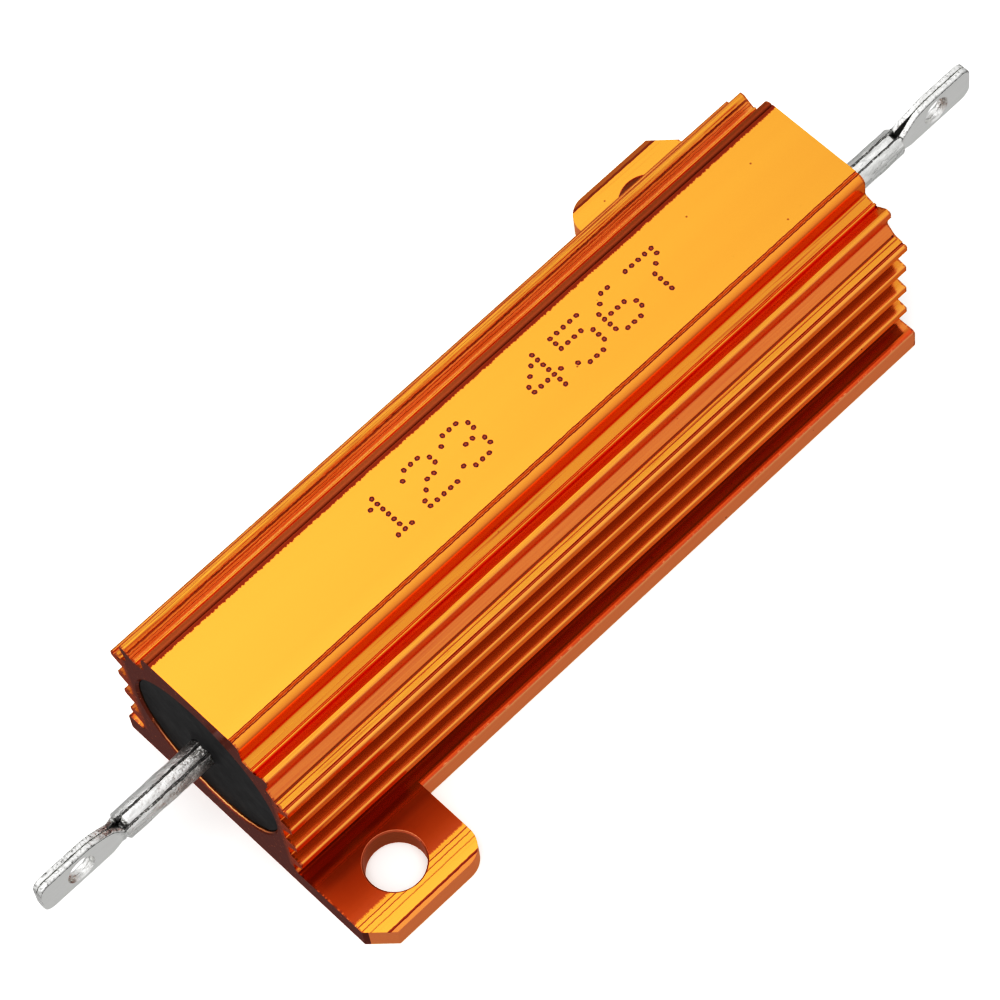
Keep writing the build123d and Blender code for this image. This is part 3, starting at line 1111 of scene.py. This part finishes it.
    def punch(self) -> bpy.types.Object:
        """Returns the punch of the lug hole: a spool whose radius grows towards both faces."""
        y = np.linspace(-0.9, 0.9, 37)[:, None]
        angle = np.linspace(0, 2 * math.pi, 64, endpoint=False)[None, :]
        lumps = 0.02 * np.sin(3 * angle + 8 * y) + 0.015 * np.sin(7 * angle - 15 * y)
        radius = self.hole_radius + lumps + 0.9 * np.clip(np.abs(y) - 0.2, 0, None) ** 1.5
        x = self.tip - self.hole_inset + radius * np.cos(angle)
        rings = np.broadcast_arrays(x, y + self.offset - self.lug_centre, radius * np.sin(angle))
        ends = np.arange(y.size * angle.size).reshape(y.size, angle.size)[[0, -1]]
        spool = mesh_from_rings("punch", self.place(np.stack(rings, -1)), ends.tolist())
        set_map(spool, np.full(y.size * angle.size, self.uncut))
        return spool

    def build(self, finish: bpy.types.Material) -> bpy.types.Object:
        """Makes the terminal, punches its hole and dresses it.

        Args:
            finish: Material of the terminal.

        Returns:
            The finished piece.
        """
        grid, from_edge = self.section()
        piece = mesh_from_rings(self.name, self.place(grid), strip_lids(*grid.shape[:2], self.columns))
        set_map(piece, from_edge.ravel())
        punch = self.punch()
        cut = piece.modifiers.new("hole", "BOOLEAN")
        cut.operation, cut.object, cut.solver = "DIFFERENCE", punch, "EXACT"
        graph = bpy.context.evaluated_depsgraph_get()
        punched = bpy.data.meshes.new_from_object(piece.evaluated_get(graph))
        piece.modifiers.clear()
        piece.data = punched
        bpy.data.objects.remove(punch)
        return dress(piece, finish, self.crease, self.node)


@dataclass
class SolderFill:
    """The solder that fills the barrel's open seam, from the body to the pressed lug."""

    name: str
    terminal: Terminal
    start: float = 24.2
    end: float = 31.15
    level: float = 0.9
    depth: float = 0.4
    off_edge: float = 1.0
    crease: float = 60.0
    rows: int = 140
    columns: int = 22

    def build(self, finish: bpy.types.Material) -> bpy.types.Object:
        """Makes the fill as a closed bar that is bent round the barrel's axis.

        Angle across the bar runs over the seam and a little under both edges of the sheet. The
        outer side's radius is the level, less a shallow groove along each edge, plus crossed waves
        for the lumps. The inner side is a plain arc.

        Args:
            finish: Material of the terminals.

        Returns:
            The finished piece.
        """
        part = self.terminal
        x = np.linspace(self.start, self.end, self.rows)[:, None]
        t = np.linspace(-1, 1, self.columns)[None, :]
        middle = part.barrel_radius - part.sheet / 2
        angle = t * (part.seam + 0.09) / middle + math.radians(part.seam_turn)
        lumps = 0.008 * np.sin(4.1 * x + 2 * t) * np.cos(2.3 * x - 3 * t)
        lumps = lumps + 0.002 * np.sin(9.7 * x - 5 * t + np.sin(3 * x))
        groove = 0.16 * np.clip((np.abs(t) - 0.72) / 0.28, 0, 1) ** 1.5
        ends = 0.3 * (1 - smooth_step((self.end - x) / 0.25))
        outer = self.level + lumps - groove - ends
        inner = np.broadcast_to(self.level - self.depth, outer.shape)
        sides = [np.stack([r * np.sin(angle), r * np.cos(angle)], -1) for r in (outer, inner)]
        grid = np.empty((self.rows, 2 * self.columns, 3))
        grid[..., 0] = x
        grid[..., 1:] = np.concatenate([sides[0], sides[1][:, ::-1]], axis=1)
        piece = mesh_from_rings(self.name, part.place(grid), strip_lids(*grid.shape[:2], self.columns))
        set_map(piece, np.full(len(piece.data.vertices), self.off_edge))
        return dress(piece, finish, self.crease)


@dataclass
class Filling:
    """The cast filling: a matt plug whose faces creep up the bore wall and the terminals."""

    half_face: float = 24.7
    radius: float = 5.72
    axis_height: float = 7.6
    offset: float = 0.4
    outlet: float = 0.97
    neck_depth: float = 23.5
    hub_depth: float = 20.0
    join: float = 1e-6
    crease: float = 50.0
    rings: int = 40
    spokes: int = 128

    def face(self, side: int) -> np.ndarray:
        """Returns one end face as rings of points, from the terminal out to the bore wall.

        Height over the flat face is a rim that falls off with the distance from the terminal, a
        second one at the bore wall, and low waves in between.

        Args:
            side: 1 for the far face and -1 for the near one.

        Returns:
            Grid of rings, spokes and three coordinates.
        """
        t = np.linspace(0, 1, self.rings)[:, None] ** 0.9
        angle = np.linspace(0, 2 * math.pi, self.spokes, endpoint=False)[None, :]
        centre = -side * self.offset * (1 - t)
        reach = self.outlet + (self.radius - self.outlet) * t
        y = centre + reach * np.cos(angle)
        z = reach * np.sin(angle)
        from_pin = np.hypot(y + side * self.offset, z) - self.outlet
        from_wall = self.radius - np.hypot(y, z)
        waves = 0.02 * np.sin(1.9 * y + 0.7 * z + side) * np.cos(1.3 * z - 0.8 * y)
        lumps = 0.05 * np.sin(5 * angle + side) * np.exp(-from_pin / 0.35)
        height = 0.22 * np.exp(-from_pin / 0.22) + lumps + 0.12 * np.exp(-from_wall / 0.25) + waves
        height = np.clip(height, -0.05, 0.28)
        x = side * (self.half_face - 0.05 + height)
        return np.stack(np.broadcast_arrays(x, y, z + self.axis_height), -1)

    def build(self, finish: bpy.types.Material) -> bpy.types.Object:
        """Makes the filling as one closed skin from the near terminal to the far one.

        Args:
            finish: Material of the filling.

        Returns:
            The finished piece.
        """
        near, far = self.face(-1), self.face(1)
        necks = [face[:1].copy() for face in (near, far)]
        hubs = [np.empty_like(near[:1]) for _ in necks]
        for side, neck, hub in zip((-1, 1), necks, hubs):
            neck[..., 0] = side * self.neck_depth
            hub[:] = (side * self.hub_depth, -side * self.offset, self.axis_height)
        rings = np.concatenate([hubs[0], necks[0], near, far[::-1], necks[1], hubs[1]])
        piece = mesh_from_rings("filling", rings, [], self.join)
        return dress(piece, finish, self.crease, "potting")


DIGITS = {
    "1": ("..#..", ".##..", "..#..", "..#..", "..#..", "..#..", ".###."),
    "2": (".###.", "#...#", "....#", "..##.", ".#...", "#....", "#####"),
    "3": (".###.", "#...#", "....#", "..##.", "....#", "#...#", ".###."),
    "4": ("...#.", "..##.", ".#.#.", "#..#.", "#####", "...#.", "...#."),
    "5": ("#####", "#....", "####.", "....#", "....#", "#...#", ".###."),
    "6": ("..##.", ".#...", "#....", "####.", "#...#", "#...#", ".###."),
    "7": ("#####", "....#", "...#.", "..#..", "..#..", "..#..", "..#.."),
}


@dataclass
class DotPrint:
    """Plain digits printed on the crown as rows of round dots."""

    text: str = "123 4567"
    first_x: float = -10.25
    pitch_x: float = 0.53
    pitch_y: float = 0.457
    cell: float = 3.05
    top_y: float = 1.72
    level: float = 15.0
    dot_radius: float = 0.17
    sides: int = 18
    crease: float = 180.0
    rings: tuple[tuple[float, float], ...] = ((1.0, -0.012), (0.97, 0.003), (0.6, 0.006), (0.2, 0.006))

    def centres(self) -> np.ndarray:
        """Returns the middle of every dot, from the digits' seven rows of five places."""
        spots = [
            (self.first_x + self.cell * place + self.pitch_x * column, self.top_y - self.pitch_y * row)
            for place, digit in enumerate(self.text)
            if digit != " "
            for row, line in enumerate(DIGITS[digit])
            for column, mark in enumerate(line)
            if mark == "#"
        ]
        return np.array(spots)

    def build(self, finish: bpy.types.Material) -> bpy.types.Object:
        """Makes all dots as one mesh of thin domes.

        Each dome's edge has a slightly uneven radius, and its height falls from the middle to the
        edge, where it lies just under the crown.

        Args:
            finish: Material of the dots.

        Returns:
            The finished piece.
        """
        centres = self.centres()
        angle = np.linspace(0, 2 * math.pi, self.sides, endpoint=False)
        seed = np.arange(len(centres))[:, None]
        uneven = 0.07 * np.sin(2 * angle + seed * 1.7) + 0.05 * np.sin(5 * angle + seed * 2.9)
        radius = self.dot_radius * (1 + uneven)
        rings = [
            np.broadcast_arrays(
                centres[:, :1] + share * radius * np.cos(angle),
                centres[:, 1:] + share * radius * np.sin(angle),
                self.level + height,
            )
            for share, height in self.rings
        ]
        points = np.stack(rings).transpose(2, 0, 3, 1)
        bottom, *_, top = np.arange(len(self.rings) * self.sides).reshape(len(self.rings), -1)
        first = np.arange(len(centres)) * len(self.rings) * self.sides
        walls = (ring_quads(len(self.rings), self.sides) + first[:, None, None]).reshape(-1, 4)
        lids = [ring + first[:, None] for ring in (top, bottom[::-1])]
        faces = [face for group in (walls, *lids) for face in group.tolist()]
        piece = mesh_from_faces("printed_digits", points, faces)
        shares = [share for share, _ in self.rings]
        set_map(piece, np.tile(np.repeat(shares, self.sides), len(centres)), "dot_share")
        return dress(piece, finish, self.crease)


@dataclass(frozen=True)
class Studio:
    """Pale floor, soft light all round and the camera of the photograph."""

    lens: float = 172.13
    camera_place: tuple[float, float, float] = (-77.6, -106.49, 252.9)
    camera_turn: tuple[float, float, float] = (27.6075, 4.6856, -44.3691)
    floor_half: float = 900.0
    floor_level: float = -0.01
    floor_patch: float = 60.0
    floor_tints: tuple[str, str] = ("F6F6F4", "F9F9F8")
    glow_heading: tuple[float, float, float] = (-0.5, 0.5, 0.707)
    glow: tuple[float, float, float, float] = (0.55, 0.95, 0.0, 1.25)
    glow_side: tuple[float, float, float, float] = (0.6, 0.76, 1.0, 0.0)
    sky: tuple[float, float, float, float] = (0.0, 0.9, 0.7, 0.98)
    sky_side: tuple[float, float, float, float] = (0.55, 0.8, 1.0, 0.5)
    dusk: tuple[float, float, float, float] = (-0.35, 0.0, 0.42, 0.7)
    ground: tuple[float, float, float, float] = (-0.9, -0.35, 0.56, 0.42)
    lamp_place: tuple[float, float, float] = (-60.0, -120.0, 600.0)
    lamp_size: float = 420.0
    lamp_radiance: float = 4.5
    contrast: tuple[tuple[float, float], ...] = ((0.05, 0.016), (0.18, 0.1), (0.35, 0.335), (0.6, 0.65))

    def floor(self) -> None:
        """Lays a large flat pale floor just under the part."""
        square = np.array([[-1, -1], [1, -1], [1, 1], [-1, 1]]) * self.floor_half
        square = np.insert(square, 2, self.floor_level, axis=1)
        plane = mesh_from_faces("floor", square, [[0, 1, 2, 3]])
        material, pattern = start_material("pale_floor")
        tint = pattern.streaks(pattern.place(), self.floor_patch)
        ground, patches = self.floor_tints
        colour = pattern.layered(ground, (patches, tint))
        pattern.finish({"Base Color": colour, "Roughness": 0.9, "Specular IOR Level": 0.1})
        plane.data.materials.append(material)
        plane.visible_glossy = False

    def world(self) -> None:
        """Lights the scene from a soft dome: a glow behind and above the part, dim sides, a grey below.

        Each band runs between two heights or two places across the view, and from one brightness
        to the other.
        """
        world = bpy.data.worlds.new("soft_dome")
        bpy.context.scene.world = world
        pattern = start_pattern(world)
        add, both = pattern.add, pattern.both
        heading = add(Kind.PLACE, output="Generated")
        _, across, up = add(Kind.SPLIT, heading).node.outputs
        towards = add(Kind.VECTOR, heading, self.glow_heading, output="Value", operation="DOT_PRODUCT")
        glow = add(Kind.RANGE, towards, *self.glow)
        glow = both(glow, add(Kind.RANGE, across, *self.glow_side))
        sky = both(add(Kind.RANGE, up, *self.sky), add(Kind.RANGE, across, *self.sky_side))
        dusk = add(Kind.RANGE, up, *self.dusk)
        ground = add(Kind.RANGE, up, *self.ground)
        below = add(Kind.MIX, pattern.within(up, high=self.dusk[0]), None, dusk, ground)
        dome = add(Kind.MIX, pattern.within(up, high=0.0), None, sky, below)
        light = add(Kind.SKY, (1.0, 1.0, 1.0, 1.0), pattern.total(dome, glow))
        add(Kind.SKY_END, light)

    def lamp(self) -> None:
        """Hangs one large square soft light over the part, out of sight of its reflections."""
        side = self.lamp_size * MM
        data = bpy.data.lights.new("overhead_soft", "AREA")
        data.shape = "SQUARE"
        data.size = side
        data.energy = self.lamp_radiance * math.pi * side * side
        lamp = bpy.data.objects.new("overhead_soft", data)
        bpy.context.scene.collection.objects.link(lamp)
        lamp.location = [c * MM for c in self.lamp_place]
        lamp.rotation_euler = (-Vector(self.lamp_place)).to_track_quat("-Z", "Y").to_euler()
        lamp.visible_glossy = False

    def camera(self) -> None:
        """Sets up the camera, placed by a fit of the photograph's edges."""
        data = bpy.data.cameras.new("camera")
        data.sensor_width, data.lens = 36.0, self.lens
        data.clip_start, data.clip_end = 0.01, 10.0
        camera = bpy.data.objects.new("camera", data)
        bpy.context.scene.collection.objects.link(camera)
        camera.location = [c * MM for c in self.camera_place]
        camera.rotation_euler = Euler([math.radians(a) for a in self.camera_turn], "XYZ")
        bpy.context.scene.camera = camera

    def grade(self) -> None:
        """Gives the picture a photograph's contrast: darker below the middle tones, lighter above."""
        view = bpy.context.scene.view_settings
        view.view_transform = "Standard"
        view.use_curve_mapping = True
        curve = view.curve_mapping.curves[3]
        for place in self.contrast:
            curve.points.new(*place)
        view.curve_mapping.update()

    def build(self) -> None:
        """Sets up contrast, floor, lights and camera."""
        self.grade()
        self.floor()
        self.world()
        self.lamp()
        self.camera()


def main(frame: dict) -> None:
    """Builds every piece in order and reports it.

    Args:
        frame: The loaded CAD frame.
    """
    logging.basicConfig(level=logging.INFO, format="%(message)s")
    nodes = frame["nodes"]
    finishes = {
        "housing": AnodisedAluminium().material(),
        "ceramic_core": FiredCeramic().material(),
        "resistance_winding": DrawnMetal("drawn_resistance_alloy", "9A948C", 0.4).material(),
        "end_cap_near": DrawnMetal("plated_cap_steel", "B8B6B0", 0.3).material(),
        "end_cap_far": DrawnMetal("plated_cap_steel_far", "B8B6B0", 0.3).material(),
    }
    for name, material in finishes.items():
        data = nodes[name].data
        data.materials.clear()
        data.materials.append(material)
        LOG.info("finish %s on %s", material.name, name)
    tinned = TinnedCopper().material()
    near = Terminal("rolled_terminal_near", "terminal_near", -1, opening=0.75, parting=0.24, seam_turn=18.0)
    far = Terminal(
        "rolled_terminal_far", "terminal_far", 1, opening=1.7, parting=0.16, seam_turn=-2.0, seam=0.17
    )
    pieces = [
        near.build(tinned),
        far.build(tinned),
        SolderFill("seam_solder_near", near).build(tinned),
        SolderFill("seam_solder_far", far).build(tinned),
        Filling().build(BlackFilling().material()),
        DotPrint().build(PrintedDots().material()),
    ]
    for piece in pieces:
        LOG.info("piece %s with %d faces", piece.name, len(piece.data.polygons))
    Studio().build()


if __name__ == "__main__":
    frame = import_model()
    main(frame)
